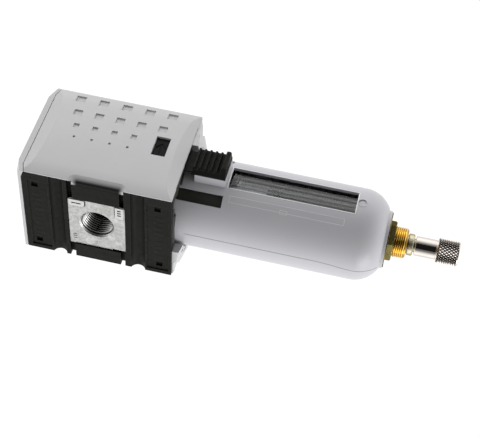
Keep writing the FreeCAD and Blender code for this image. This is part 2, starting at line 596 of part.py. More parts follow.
# both long edges slope in toward the rib tops
for sx in (-1, 1):
    pr = Part.Face(Part.makePolygon([V(sx * 8.2, -27.85, -62), V(sx * 5.7, -34.8, -62), V(sx * 9.8, -34.8, -62),
                                     V(sx * 9.8, -27.85, -62), V(sx * 8.2, -27.85, -62)])).extrude(V(0, 0, 22))
    lock = lock.cut(pr)
tongue = box(-tongue_half, tongue_half, -28.5, -25.6, -39.2, -35.0)
tongue = tongue.fuse(box(-tongue_half, tongue_half, -28.5, -27.6, -44.6, -39.0))
tongue = tongue.makeChamfer(0.5, [e for e in tongue.Edges if is_along(e, 0) and e.BoundBox.ZMin > -35.1])
foot = box(-2.2, 2.2, -27.8, -25.0, -50.2, -46.2).fuse(box(-4.2, 4.2, -25.6, -24.2, -50.2, -46.2))
lock = lock.fuse([tongue, foot])
parts['bowl_lock'] = lock.removeSplitter()
parts['lock_spring'] = spring(0.62, 0.16, -59.35, -50.25, 9, 0, -24.9)

# --------------------------------------------------------------------- export
os.makedirs("parts", exist_ok=True)
for name, shape in parts.items():
    assert shape.isValid(), name
    shape.exportStep(os.path.join("parts", name + ".step"))
    bb = shape.BoundBox
    print("%-20s solids %d  vol %10.2f  x %.2f %.2f  y %.2f %.2f  z %.2f %.2f" % (
        name, len(shape.Solids), shape.Volume, bb.XMin, bb.XMax, bb.YMin, bb.YMax, bb.ZMin, bb.ZMax))
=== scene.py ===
import math
import random

import bmesh
import bpy
from mathutils import Matrix, Vector


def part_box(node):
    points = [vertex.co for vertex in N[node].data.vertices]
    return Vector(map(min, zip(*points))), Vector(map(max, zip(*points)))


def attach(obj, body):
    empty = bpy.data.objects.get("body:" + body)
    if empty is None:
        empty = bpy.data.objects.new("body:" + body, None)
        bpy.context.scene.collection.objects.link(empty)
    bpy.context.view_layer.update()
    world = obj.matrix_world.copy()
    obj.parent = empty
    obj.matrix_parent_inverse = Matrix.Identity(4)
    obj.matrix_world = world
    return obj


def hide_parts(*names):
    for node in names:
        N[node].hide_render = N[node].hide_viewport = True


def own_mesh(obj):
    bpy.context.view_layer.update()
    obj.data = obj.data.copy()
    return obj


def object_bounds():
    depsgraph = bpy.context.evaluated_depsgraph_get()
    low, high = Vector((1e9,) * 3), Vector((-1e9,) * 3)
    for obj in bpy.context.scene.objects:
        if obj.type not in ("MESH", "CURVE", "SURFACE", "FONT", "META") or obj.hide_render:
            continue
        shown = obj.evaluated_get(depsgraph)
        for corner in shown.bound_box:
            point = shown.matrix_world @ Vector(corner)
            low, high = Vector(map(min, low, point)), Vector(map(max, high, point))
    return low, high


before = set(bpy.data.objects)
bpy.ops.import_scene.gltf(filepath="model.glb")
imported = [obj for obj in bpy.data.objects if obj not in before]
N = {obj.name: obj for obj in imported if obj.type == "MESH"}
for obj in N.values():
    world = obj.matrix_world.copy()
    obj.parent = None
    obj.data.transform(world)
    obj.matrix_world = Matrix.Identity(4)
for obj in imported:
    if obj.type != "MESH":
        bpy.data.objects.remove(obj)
cad_lo, cad_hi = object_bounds()
MM = 0.001

# ------------------------------------------------------------------ camera
cam_data = bpy.data.cameras.new("camera")
cam = bpy.data.objects.new("camera", cam_data)
bpy.context.scene.collection.objects.link(cam)
cam_data.sensor_width = 36.0
cam_data.lens = 98.56
cam_data.clip_start, cam_data.clip_end = 0.01, 50.0
right = Vector((0.22747, -0.04682, -0.97266))
down = Vector((-0.72678, 0.65663, -0.20158))
fwd = Vector((0.64811, 0.75276, 0.11533))
rot = Matrix((right, -down, -fwd)).transposed()
cam.matrix_world = Matrix.Translation((-0.438502, -0.502714, -0.145486)) @ rot.to_4x4()
bpy.context.scene.camera = cam

# --------------------------------------------------------------- materials


def new_mat(name):
    m = bpy.data.materials.new(name)
    m.use_nodes = True
    nt = m.node_tree
    for n in list(nt.nodes):
        nt.nodes.remove(n)
    out = nt.nodes.new("ShaderNodeOutputMaterial")
    bsdf = nt.nodes.new("ShaderNodeBsdfPrincipled")
    nt.links.new(bsdf.outputs[0], out.inputs["Surface"])
    return m, nt, bsdf


def noise(nt, scale, detail=4.0, rough=0.55, coord=None, dist=0.0):
    n = nt.nodes.new("ShaderNodeTexNoise")
    n.inputs["Scale"].default_value = scale
    n.inputs["Detail"].default_value = detail
    n.inputs["Roughness"].default_value = rough
    n.inputs["Distortion"].default_value = dist
    if coord is not None:
        nt.links.new(coord, n.inputs["Vector"])
    return n


def ramp(nt, fac, stops, interp="LINEAR"):
    r = nt.nodes.new("ShaderNodeValToRGB")
    r.color_ramp.interpolation = interp
    els = r.color_ramp.elements
    els[0].position, els[0].color = stops[0][0], stops[0][1]
    els[1].position, els[1].color = stops[-1][0], stops[-1][1]
    for p, c in stops[1:-1]:
        e = els.new(p)
        e.color = c
    nt.links.new(fac, r.inputs[0])
    return r


def bump(nt, bsdf, height, strength, dist, normal=None):
    b = nt.nodes.new("ShaderNodeBump")
    b.inputs["Strength"].default_value = strength
    b.inputs["Distance"].default_value = dist
    nt.links.new(height, b.inputs["Height"])
    if normal is not None:
        nt.links.new(normal, b.inputs["Normal"])
    nt.links.new(b.outputs[0], bsdf.inputs["Normal"])
    return b.outputs[0]


def g(v, a=1.0):
    return (v, v, v, a)


def soft_edges(nt, radius):
    """Rounded-edge normal, and a mask that is 1 on sharp edges."""
    bv = nt.nodes.new("ShaderNodeBevel")
    bv.samples = 4
    bv.inputs["Radius"].default_value = radius
    geo = nt.nodes.new("ShaderNodeNewGeometry")
    dp = nt.nodes.new("ShaderNodeVectorMath")
    dp.operation = "DOT_PRODUCT"
    nt.links.new(bv.outputs[0], dp.inputs[0])
    nt.links.new(geo.outputs["Normal"], dp.inputs[1])
    rg = nt.nodes.new("ShaderNodeMapRange")
    rg.inputs["From Min"].default_value = 0.995
    rg.inputs["From Max"].default_value = 0.80
    nt.links.new(dp.outputs["Value"], rg.inputs["Value"])
    return bv.outputs[0], rg.outputs[0]


def mix_rgb(nt, fac, a, b):
    m = nt.nodes.new("ShaderNodeMix")
    m.data_type = "RGBA"
    nt.links.new(fac, m.inputs["Factor"])
    if isinstance(a, tuple):
        m.inputs["A"].default_value = a
    else:
        nt.links.new(a, m.inputs["A"])
    if isinstance(b, tuple):
        m.inputs["B"].default_value = b
    else:
        nt.links.new(b, m.inputs["B"])
    return m.outputs["Result"]


def obj_coord(nt):
    return nt.nodes.new("ShaderNodeTexCoord").outputs["Object"]


def plastic(name, rgb, var=0.03, rough=0.45, rough_var=0.08, grain=9000.0, grain_h=0.00002,
            grain_s=0.25, spec=0.5, edge=0.0002, edge_highlight_wear=None, edge_highlight_wear_amount=0.5):
    m, nt, b = new_mat(name)
    oc = obj_coord(nt)
    big = noise(nt, 60.0, 3.0, 0.5, oc)
    c0 = tuple(max(0.0, c * (1 - var)) for c in rgb) + (1.0,)
    c1 = tuple(min(1.0, c * (1 + var)) for c in rgb) + (1.0,)
    col = ramp(nt, big.outputs[0], [(0.3, c0), (0.7, c1)]).outputs[0]
    nrm = None
    if edge:
        nrm, mask = soft_edges(nt, edge)
        # Sharp edges are mixed toward a lighter colour in patches: painted edge highlight, with some wear.
        if edge_highlight_wear is not None:
            patch = noise(nt, 500.0, 4.0, 0.6, oc)
            pr = ramp(nt, patch.outputs[0], [(0.35, g(0.15 * edge_highlight_wear_amount)), (0.7, g(edge_highlight_wear_amount))])
            mm = nt.nodes.new("ShaderNodeMath")
            mm.operation = "MULTIPLY"
            nt.links.new(pr.outputs[0], mm.inputs[0])
            nt.links.new(mask, mm.inputs[1])
            col = mix_rgb(nt, mm.outputs[0], col, tuple(edge_highlight_wear) + (1.0,))
    nt.links.new(col, b.inputs["Base Color"])
    rn = noise(nt, 400.0, 4.0, 0.6, oc)
    rr = ramp(nt, rn.outputs[0], [(0.3, g(rough - rough_var)), (0.7, g(rough + rough_var))])
    nt.links.new(rr.outputs[0], b.inputs["Roughness"])
    b.inputs["Specular IOR Level"].default_value = spec
    fine = noise(nt, grain, 2.0, 0.6, oc)
    bump(nt, b, fine.outputs[0], grain_s, grain_h, nrm)
    return m


def metal(name, rgb, var=0.05, rough=0.3, rough_var=0.08, grain=3000.0, grain_h=0.00001, grain_s=0.2,
          metallic=1.0, turned=None, dirt=None, dirt_scale=700.0, edge=0.00015, edge_highlight_wear=None, cloud=180.0):
    m, nt, b = new_mat(name)
    oc = obj_coord(nt)
    big = noise(nt, cloud, 5.0, 0.6, oc, dist=0.6)
    c0 = tuple(max(0.0, c * (1 - var)) for c in rgb) + (1.0,)
    c1 = tuple(min(1.0, c * (1 + var)) for c in rgb) + (1.0,)
    col = ramp(nt, big.outputs[0], [(0.32, c0), (0.68, c1)]).outputs[0]
    if dirt is not None:
        d = noise(nt, dirt_scale, 6.0, 0.7, oc)
        dr = ramp(nt, d.outputs[0], [(0.50, g(0.0)), (0.80, g(0.8))])
        col = mix_rgb(nt, dr.outputs[0], col, tuple(dirt) + (1.0,))
    nrm = None
    if edge:
        nrm, mask = soft_edges(nt, edge)
        # Sharp edges are mixed toward a lighter colour: painted edge highlight, with some wear.
        if edge_highlight_wear is not None:
            mm = nt.nodes.new("ShaderNodeMath")
            mm.operation = "MULTIPLY"
            mm.inputs[1].default_value = 0.6
            nt.links.new(mask, mm.inputs[0])
            col = mix_rgb(nt, mm.outputs[0], col, tuple(edge_highlight_wear) + (1.0,))
    nt.links.new(col, b.inputs["Base Color"])
    b.inputs["Metallic"].default_value = metallic
    rn = noise(nt, 900.0, 4.0, 0.6, oc)
    rr = ramp(nt, rn.outputs[0], [(0.3, g(max(0.02, rough - rough_var))), (0.7, g(rough + rough_var))])
    nt.links.new(rr.outputs[0], b.inputs["Roughness"])
    if turned:
        mp = nt.nodes.new("ShaderNodeMapping")
        mp.inputs["Scale"].default_value = turned
        nt.links.new(oc, mp.inputs["Vector"])
        fine = noise(nt, 1.0, 3.0, 0.6, mp.outputs[0])
    else:
        fine = noise(nt, grain, 3.0, 0.6, oc)
    bump(nt, b, fine.outputs[0], grain_s, grain_h, nrm)
    return m


# The lighter edge colours given below are painted edge highlights, with some wear.
M = {}
M["cover"] = plastic("cover_grey", (0.618, 0.618, 0.627), 0.012, 0.40, 0.05, 7000.0, 0.00002, 0.22, 0.45,
                     edge=0.0003, edge_highlight_wear=(0.72, 0.72, 0.72), edge_highlight_wear_amount=0.35)
M["guard"] = plastic("guard_grey", (0.572, 0.570, 0.602), 0.012, 0.34, 0.04, 3500.0, 0.00001, 0.10, 0.5,
                     edge=0.0003, edge_highlight_wear=(0.80, 0.80, 0.82), edge_highlight_wear_amount=0.6)
M["black"] = plastic("black_polyamide", (0.0070, 0.0070, 0.0052), 0.2, 0.52, 0.08, 5000.0, 0.00004, 0.35, 0.10,
                     edge=0.00028, edge_highlight_wear=(0.110, 0.110, 0.098), edge_highlight_wear_amount=0.9)
M["carrier"] = plastic("carrier_polyamide", (0.045, 0.045, 0.038), 0.15, 0.50, 0.08, 5000.0, 0.00004, 0.35, 0.25,
                       edge=0.00025, edge_highlight_wear=(0.10, 0.10, 0.09), edge_highlight_wear_amount=0.8)
# Near-white lip colour: a painted highlight along the window's edge.
M["lip"] = plastic("guard_lip_highlight", (0.93, 0.93, 0.94), 0.012, 0.30, 0.04, 3500.0, 0.00001, 0.10, 0.5, edge=0.0)
M["line"] = plastic("guard_line", (0.74, 0.74, 0.76), 0.012, 0.30, 0.04, 3500.0, 0.00001, 0.10, 0.5, edge=0.0)
M["seam"] = plastic("guard_seam", (0.22, 0.235, 0.21), 0.05, 0.40, 0.04, 3500.0, 0.00001, 0.10, 0.4, edge=0.0)
M["tile"] = plastic("tile_black", (0.007, 0.007, 0.006), 0.1, 0.45, 0.05, 8000.0, 0.00002, 0.2, 0.08,
                    edge=0.0002, edge_highlight_wear=(0.05, 0.05, 0.045), edge_highlight_wear_amount=0.8)
M["rubber"] = plastic("seal_rubber", (0.015, 0.015, 0.015), 0.15, 0.65, 0.08, 5000.0, 0.00002, 0.2, 0.3, edge=0.0)
M["sinter"] = plastic("sintered_white", (0.88, 0.88, 0.90), 0.06, 0.75, 0.08, 2500.0, 0.00012, 0.6, 0.3, edge=0.0)
M["zinc"] = metal("zinc_casting", (0.43, 0.43, 0.42), 0.22, 0.40, 0.10, 2600.0, 0.00004, 0.4, cloud=260.0,
                  dirt=(0.22, 0.22, 0.21), dirt_scale=900.0, edge=0.0003, edge_highlight_wear=(0.85, 0.85, 0.83))
M["brass"] = metal("brass_turned", (0.66, 0.42, 0.10), 0.10, 0.22, 0.07, turned=(400.0, 400.0, 9000.0),
                   grain_h=0.000006, edge_highlight_wear=(0.95, 0.75, 0.35))
M["hex"] = metal("brass_hex", (0.20, 0.165, 0.060), 0.14, 0.26, 0.08, grain_h=0.000008, dirt=(0.07, 0.055, 0.02),
                 edge_highlight_wear=(0.55, 0.46, 0.20))
M["olive"] = metal("brass_olive", (0.56, 0.52, 0.38), 0.12, 0.36, 0.08, turned=(400.0, 400.0, 9000.0),
                   grain_h=0.000006, edge=0.0)
for key_ in ("hex", "olive"):
    pb = next(n for n in M[key_].node_tree.nodes if n.type == "BSDF_PRINCIPLED")
    pb.inputs["Specular Tint"].default_value = (0.30, 0.27, 0.18, 1.0)
M["nickel"] = metal("nickel_plated", (0.74, 0.68, 0.63), 0.04, 0.10, 0.04, turned=(400.0, 400.0, 9000.0),
                    grain_h=0.000003, edge=0.0001)
M["zinc_thread"] = metal("zinc_thread", (0.40, 0.40, 0.39), 0.10, 0.26, 0.08, grain_h=0.000006, edge=0.0)
M["brass_thread"] = metal("brass_thread", (0.94, 0.70, 0.20), 0.06, 0.20, 0.06, grain_h=0.000004, edge=0.0)
M["knurl"] = metal("nickel_knurled", (0.84, 0.77, 0.71), 0.04, 0.16, 0.04, grain_h=0.000003, edge=0.0)
M["steel"] = metal("screw_steel", (0.55, 0.55, 0.56), 0.06, 0.3, 0.08)


def add_recess_shade(m, axis_points):
    """Painted shade: a soft black fade where the cover edge dips into the scoop, with roughness raised there."""
    nt = m.node_tree
    b = next(n for n in nt.nodes if n.type == "BSDF_PRINCIPLED")
    src = b.inputs["Base Color"].links[0].from_socket
    sep = nt.nodes.new("ShaderNodeSeparateXYZ")
    nt.links.new(obj_coord(nt), sep.inputs[0])

    def step(sock, lo, hi):
        r = nt.nodes.new("ShaderNodeMapRange")
        r.interpolation_type = "SMOOTHSTEP"
        r.inputs["From Min"].default_value = lo
        r.inputs["From Max"].default_value = hi
        nt.links.new(sock, r.inputs["Value"])
        return r.outputs[0]

    def mul(a, c):
        x = nt.nodes.new("ShaderNodeMath")
        x.operation = "MULTIPLY"
        nt.links.new(a, x.inputs[0])
        nt.links.new(c, x.inputs[1])
        return x.outputs[0]
    (x0, x1), (y0, y1), (z0, z1), (z2, z3) = axis_points
    f = mul(mul(step(sep.outputs[0], x0, x1), step(sep.outputs[1], y0, y1)),
            mul(step(sep.outputs[2], z0, z1), step(sep.outputs[2], z2, z3)))
    col = mix_rgb(nt, f, src, (0.007, 0.007, 0.006, 1.0))
    nt.links.new(col, b.inputs["Base Color"])
    rs = b.inputs["Roughness"].links[0].from_socket
    x = nt.nodes.new("ShaderNodeMath")
    x.operation = "MAXIMUM"
    nt.links.new(rs, x.inputs[0])
    nt.links.new(f, x.inputs[1])
    nt.links.new(x.outputs[0], b.inputs["Roughness"])


def plate_relief(m, dark, light):
    """Painted shade in the sunk outlines of the port plate; raised pads are made lighter."""
    nt = m.node_tree
    b = next(n for n in nt.nodes if n.type == "BSDF_PRINCIPLED")
    src = b.inputs["Base Color"].links[0].from_socket
    oc = obj_coord(nt)
    sep = nt.nodes.new("ShaderNodeSeparateXYZ")
    nt.links.new(oc, sep.inputs[0])

    def op(kind, a, c=None):
        x = nt.nodes.new("ShaderNodeMath")
        x.operation = kind
        nt.links.new(a, x.inputs[0])
        if c is not None:
            nt.links.new(c, x.inputs[1])
        return x.outputs[0]

    def step(sock, lo, hi):
        r = nt.nodes.new("ShaderNodeMapRange")
        r.inputs["From Min"].default_value = lo
        r.inputs["From Max"].default_value = hi
        nt.links.new(sock, r.inputs["Value"])
        return r.outputs[0]
    ax = op("ABSOLUTE", sep.outputs[0])
    flat = nt.nodes.new("ShaderNodeVectorMath")
    flat.operation = "MULTIPLY"
    nt.links.new(oc, flat.inputs[0])
    flat.inputs[1].default_value = (0, 1, 1)
    ln = nt.nodes.new("ShaderNodeVectorMath")
    ln.operation = "LENGTH"
    nt.links.new(flat.outputs[0], ln.inputs[0])
    away = step(ln.outputs["Value"], 0.0096, 0.0098)
    low = op("MULTIPLY", step(ax, 0.02938, 0.02925), step(ax, 0.0286, 0.0288))
    col = mix_rgb(nt, op("MULTIPLY", low, away), src, tuple(dark) + (1.0,))
    high = step(ax, 0.02955, 0.02970)
    col = mix_rgb(nt, high, col, tuple(light) + (1.0,))
    nt.links.new(col, b.inputs["Base Color"])


def groove_root_shade(m, plane, r0, r1, dark):
    """Painted shade in the roots of turned threads and knurls: dark at radius r0, unchanged colour at r1."""
    nt = m.node_tree
    b = next(n for n in nt.nodes if n.type == "BSDF_PRINCIPLED")
    src = b.inputs["Base Color"].links[0].from_socket
    flat = nt.nodes.new("ShaderNodeVectorMath")
    flat.operation = "MULTIPLY"
    nt.links.new(obj_coord(nt), flat.inputs[0])
    flat.inputs[1].default_value = plane
    ln = nt.nodes.new("ShaderNodeVectorMath")
    ln.operation = "LENGTH"
    nt.links.new(flat.outputs[0], ln.inputs[0])
    r = nt.nodes.new("ShaderNodeMapRange")
    r.inputs["From Min"].default_value = r0
    r.inputs["From Max"].default_value = r1
    r.inputs["To Min"].default_value = 1.0
    r.inputs["To Max"].default_value = 0.0
    nt.links.new(ln.outputs["Value"], r.inputs["Value"])
    col = mix_rgb(nt, r.outputs[0], src, tuple(dark) + (1.0,))
    nt.links.new(col, b.inputs["Base Color"])


# Painted shade in the thread roots of the drain body, the knurl and the ports.
groove_root_shade(M["brass_thread"], (1, 1, 0), 0.00740, 0.00785, (0.46, 0.25, 0.035))
groove_root_shade(M["knurl"], (1, 1, 0), 0.00614, 0.00628, (0.014, 0.011, 0.008))
groove_root_shade(M["zinc_thread"], (0, 1, 1), 0.00825, 0.00770, (0.030, 0.030, 0.030))
# Painted shade in the port plate's sunk outlines.
plate_relief(M["zinc"], (0.030, 0.030, 0.029), (0.54, 0.54, 0.53))


def clear_plastic(name, rgb, rough=0.06):
    m, nt, b = new_mat(name)
    oc = obj_coord(nt)
    b.inputs["Base Color"].default_value = tuple(rgb) + (1.0,)
    b.inputs["Transmission Weight"].default_value = 1.0
    b.inputs["IOR"].default_value = 1.58
    rn = noise(nt, 120.0, 4.0, 0.6, oc)
    rr = ramp(nt, rn.outputs[0], [(0.3, g(rough * 0.5)), (0.7, g(rough * 1.5))])
    nt.links.new(rr.outputs[0], b.inputs["Roughness"])
    fine = noise(nt, 90.0, 2.0, 0.5, oc)
    bump(nt, b, fine.outputs[0], 0.1, 0.0001)
    return m


# Painted shade in the cover's edge scoop above the port plate.
add_recess_shade(M["cover"], ((-0.0266, -0.0294), (-0.0318, -0.0310), (-0.0150, -0.0118), (0.0124, 0.0090)))
M["clear"] = clear_plastic("clear_polycarbonate", (0.90, 0.92, 0.93))

NODE_MAT = {
    "valve_body": "zinc", "side_frame_inlet": "black", "side_frame_outlet": "black",
    "front_cover": "cover", "back_cover": "cover", "top_cap": "cover", "flow_arrow_tile": "tile",
    "bowl_carrier": "carrier", "carrier_screws": "steel", "body_seal": "rubber", "swirl_vane": "black",
    "element_gaskets": "rubber", "filter_element": "sinter", "baffle": "black", "tie_rod": "steel",
    "element_nut": "steel", "bowl_guard": "guard", "reservoir": "clear", "bowl_seal": "rubber",
    "drain_gasket": "rubber", "drain_body": "brass", "drain_hex_nut": "hex", "drain_collar": "olive",
    "drain_stem": "brass", "drain_valve_disc": "rubber", "stem_clip": "steel", "drain_spring": "steel",
    "drain_knob": "nickel", "bowl_lock": "black", "lock_spring": "steel",
}
for name, ob in N.items():
    ob.data.materials.clear()
    ob.data.materials.append(M[NODE_MAT[name]])

# ------------------------------------------------------------ mesh helpers


def add_mesh(name, verts, faces, mat, body, smooth=True, angle=40.0):
    me = bpy.data.meshes.new(name)
    me.from_pydata([tuple(c * MM for c in v) for v in verts], [], faces)
    bm = bmesh.new()
    bm.from_mesh(me)
    bmesh.ops.recalc_face_normals(bm, faces=bm.faces)
    bm.to_mesh(me)
    bm.free()
    if smooth:
        me.shade_smooth()
        try:
            me.set_sharp_from_angle(angle=math.radians(angle))
        except AttributeError:
            pass
    ob = bpy.data.objects.new(name, me)
    bpy.context.scene.collection.objects.link(ob)
    me.materials.append(mat)
    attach(ob, body)
    return ob


def lathe(rows, n, axis="z"):
    """Closed ring solid. rows: closed loop of (r, z), r may be a function of the angle."""
    vs, fs = [], []
    m = len(rows)
    for r, z in rows:
        for i in range(n):
            t = 2 * math.pi * i / n
            rr = r(t) if callable(r) else r
            zz = z(t) if callable(z) else z
            if axis == "z":
                vs.append((rr * math.cos(t), rr * math.sin(t), zz))
            else:
                vs.append((zz, rr * math.cos(t), rr * math.sin(t)))
    for j in range(m):
        k = (j + 1) % m
        for i in range(n):
            p = (i + 1) % n
            fs.append((j * n + i, j * n + p, k * n + p, k * n + i))
    return vs, fs


def tri(x):
    x = x % 1.0
    return 1.0 - abs(2.0 * x - 1.0)


def flat_tri(x, flat=0.12):
    """Thread form: 0 at the root, 1 at the crest, both with a small flat."""
    return min(1.0, max(0.0, (tri(x) - flat) / (1.0 - 2.0 * flat)))


# ----------------------------------------------------- port threads (G 3/8)
PORT_R, PORT_MIN, PITCH = 8.331, 7.475, 1.337


def port_thread(name, side):
    x0, x1 = 17.6, 28.45          # inner end, mouth
    steps = int((x1 - x0) / PITCH * 12)
    rows = []
    for j in range(steps + 1):
        x = x0 + (x1 - x0) * j / steps
        fade = min(1.0, (x - x0) / 0.8, (x1 - x) / 1.1)
        fade = max(0.0, fade)

        def r(t, x=x, fade=fade):
            return PORT_R - 0.01 - (PORT_R - PORT_MIN) * fade * flat_tri(x / PITCH - t / (2 * math.pi), 0.10)
        rows.append((r, x * side))
    rows.append((PORT_R - 0.004, (x1 + 0.05) * side))
    rows.append((PORT_R + 0.15, (x1 + 0.05) * side))
    rows.append((PORT_R + 0.15, (x0 - 0.05) * side))
    rows.append((PORT_R - 0.004, (x0 - 0.05) * side))
    vs, fs = lathe(rows, 96, "x")
    return add_mesh(name, vs, fs, M["zinc_thread"], "head", angle=30)


port_thread("inlet_thread", -1)
port_thread("outlet_thread", 1)


# -------------------------------------------- drain body with M16 x 1 thread
def drain_body():
    lo_n, hi_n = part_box("drain_body")
    zt = hi_n[2] / MM
    zb = lo_n[2] / MM
    fl = zt - 2.6
    rows = [(11.0, zt - 0.2), (11.0, fl + 0.2), (10.8, fl), (8.0, fl), (7.95, -143.0)]
    z = -143.4
    steps = int((zb + 0.9 - z) / -(1.0 / 12))
    z_end = zb + 0.9
    for j in range(steps + 1):
        zz = z + (z_end - z) * j / steps
        fade = max(0.0, min(1.0, (z - zz) / 0.6))

        def r(t, zz=zz, fade=fade):
            return 8.0 - 0.58 * fade * (1.0 - flat_tri(zz / 1.0 + t / (2 * math.pi), 0.10))
        rows.append((r, zz))
    rows += [(7.35, zb + 0.55), (6.95, zb + 0.05), (6.8, zb), (4.75, zb), (4.6, zb + 0.15), (4.6, -150.4),
             (3.5, -150.4), (3.5, -140.0), (2.2, -140.0), (2.2, zt), (10.8, zt)]
    vs, fs = lathe(rows, 120)
    ob = add_mesh("drain_body_threaded", vs, fs, M["brass_thread"], "bowl", angle=30)
    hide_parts("drain_body")


drain_body()


# --------------------------------------------------- knurled knob and barrel
def knob():
    lo_n, hi_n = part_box("drain_knob")
    zb, zt = lo_n[2] / MM, hi_n[2] / MM
    zk = -168.8
    rows = [(5.0 - 0.25, zt), (5.0, zt - 0.25)]
    z = zt - 0.6
    while z > zk + 0.9:
        rows.append((5.0, z))
        z -= 1.2
    rows += [(5.0, zk + 0.55), (4.85, zk + 0.45), (4.85, zk + 0.1), (4.9, zk), (5.75, zk), (6.05, zk - 0.25)]
    nk = 28
    lead = 2 * math.pi * 6.4 / nk / math.tan(math.radians(33.0))
    z0, z1 = zk - 0.45, zb + 0.75
    steps = 58
    for j in range(steps + 1):
        zz = z0 + (z1 - z0) * j / steps
        fade = max(0.0, min(1.0, (z0 - zz) / 0.3, (zz - z1) / 0.3))

        def r(t, zz=zz, fade=fade):
            a = flat_tri(nk * t / (2 * math.pi) + zz / lead, 0.10)
            b = flat_tri(nk * t / (2 * math.pi) - zz / lead, 0.10)
            return 6.02 + 0.38 * fade * min(a, b) ** 0.7
        rows.append((r, zz))
    rows += [(5.95, zb + 0.4), (5.5, zb), (3.6, zb), (3.4, zb + 0.2), (3.4, -173.0), (3.0, -173.0), (3.0, -171.0),
             (1.3, -171.0), (1.3, -167.0), (3.7, -167.0), (3.7, zt - 0.2), (3.9, zt)]
    vs, fs = lathe(rows, nk * 8)
    ob = add_mesh("drain_knob_knurled", vs, fs, M["nickel"], "knob", angle=30)
    ob.data.materials.append(M["knurl"])
    for poly in ob.data.polygons:
        c = poly.center
        if math.hypot(c.x, c.y) > 0.0060 and c.z < (zk - 0.3) * MM:
            poly.material_index = 1
    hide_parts("drain_knob")


knob()


# ------------------------------------------------------------------- collar
def collar():
    lo_n, hi_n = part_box("drain_collar")
    z1, z0 = -153.9, -156.9
    rows = [(5.1, z1), (5.45, z1 - 0.3), (5.5, z1 - 0.5)]
    z = z1 - 0.6
    while z > z0 + 0.7:
        rows += [(5.5, z), (5.44, z - 0.12), (5.5, z - 0.24)]
        z -= 0.5
    rows += [(5.5, z0 + 0.5), (5.2, z0 + 0.1), (4.9, z0), (3.4, z0), (3.4, lo_n[2] / MM), (1.8, lo_n[2] / MM),
             (1.8, hi_n[2] / MM), (4.55, hi_n[2] / MM), (4.55, z1)]
    vs, fs = lathe(rows, 96)
    ob = add_mesh("drain_collar_turned", vs, fs, M["olive"], "bowl", angle=35)
    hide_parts("drain_collar")


collar()


# ------------------------------------------------- small features of the guard
def guard_r(z):
    if z >= -128.6:
        return 23.4
    return 8.5 + math.sqrt(max(0.0, 14.9 ** 2 - (z + 128.6) ** 2))


def guard_pt(deg, z):
    """Point on the guard's skin and its outward normal; degrees from the front, + toward +X."""
    t = math.radians(deg)
    r = guard_r(z)
    n = Vector((math.sin(t), -math.cos(t), 0.0))
    if z < -128.6:
        k = (r - 8.5) / 14.9
        n = Vector((math.sin(t) * k, -math.cos(t) * k, (z + 128.6) / 14.9))
    return Vector((r * math.sin(t), -r * math.cos(t), z)), n


def bead(name, path, w, h, mat, body, closed=False, sink=0.12):
    """Low rounded bead that follows a path of (point, normal) pairs; ends are capped."""
    sect = [(0.5, -sink)] + [(0.5 * math.cos(math.pi * k / 5), math.sin(math.pi * k / 5)) for k in range(6)] + [(-0.5, -sink)]
    vs, fs = [], []
    cnt, m = len(path), len(sect)
    for i, (p, n) in enumerate(path):
        a = path[(i - 1) % cnt][0] if (closed or i > 0) else p
        b = path[(i + 1) % cnt][0] if (closed or i < cnt - 1) else p
        t = (b - a).normalized()
        side = t.cross(n).normalized()
        for u, v in sect:
            q = p + side * (u * w) + n * (v if v < 0 else v * h)
            vs.append(tuple(q))
    last = cnt if closed else cnt - 1
    for i in range(last):
        k = (i + 1) % cnt
        for j in range(m):
            l = (j + 1) % m
            fs.append((i * m + j, i * m + l, k * m + l, k * m + j))
    if not closed:
        fs.append(tuple(range(m)))
        fs.append(tuple((cnt - 1) * m + j for j in reversed(range(m))))
    return add_mesh(name, vs, fs, mat, body, angle=50)


def skin_loop(deg0, deg1, z0, z1, nz=40, na=8):
    pts = []
    for i in range(nz):
        pts.append(guard_pt(deg0, z0 + (z1 - z0) * i / nz))
    for i in range(na):
        pts.append(guard_pt(deg0 + (deg1 - deg0) * i / na, z1))
    for i in range(nz):
        pts.append(guard_pt(deg1, z1 + (z0 - z1) * i / nz))
    for i in range(na):
        pts.append(guard_pt(deg1 + (deg0 - deg1) * i / na, z0))
    return pts


for part, a in (("a", -90.0), ("b", 90.0)):
    sg = -1.0 if a < 0 else 1.0
    key = [(90.0, -43.5), (90.0, -112.0), (91.5, -119.0), (93.6, -126.0), (94.2, -130.0), (95.0, -133.6), (96.5, -137.3),
           (99.5, -139.8), (103.0, -141.3)]
    path = []
    for (a0, z0), (a1, z1) in zip(key[:-1], key[1:]):
        st = 30 if z0 > -100 else 4
        path += [guard_pt(sg * (a0 + (a1 - a0) * i / st), z0 + (z1 - z0) * i / st) for i in range(st)]
    path.append(guard_pt(sg * key[-1][0], key[-1][1]))
    bead("guard_seam_" + part, path, 0.42, 0.05, M["seam"], "bowl")

win_deg = math.degrees(math.asin(7.0 / 23.4))
# The window lip bead carries the near-white painted highlight along the window's edge.
bead("window_lip", skin_loop(-win_deg - 0.35, win_deg + 0.35, -125.75, -61.3), 0.55, 0.16, M["lip"], "bowl",
     closed=True)
bead("label_outline", skin_loop(-35.3, -27.2, -121.3, -63.5), 0.30, 0.07, M["line"], "bowl", closed=True)
bead("label_square", skin_loop(-37.0, -32.4, -92.9, -89.3, 6, 4), 0.30, 0.07, M["line"], "bowl", closed=True)

ring = []
for k in range(40):
    t = 2 * math.pi * k / 40
    x, z = 2.35 * math.cos(t), -128.2 + 2.35 * math.sin(t)
    p, n = guard_pt(math.degrees(math.asin(x / guard_r(z))), z)
    ring.append((p, n))
bead("dimple_ring", ring, 0.5, 0.16, M["guard"], "bowl", closed=True)


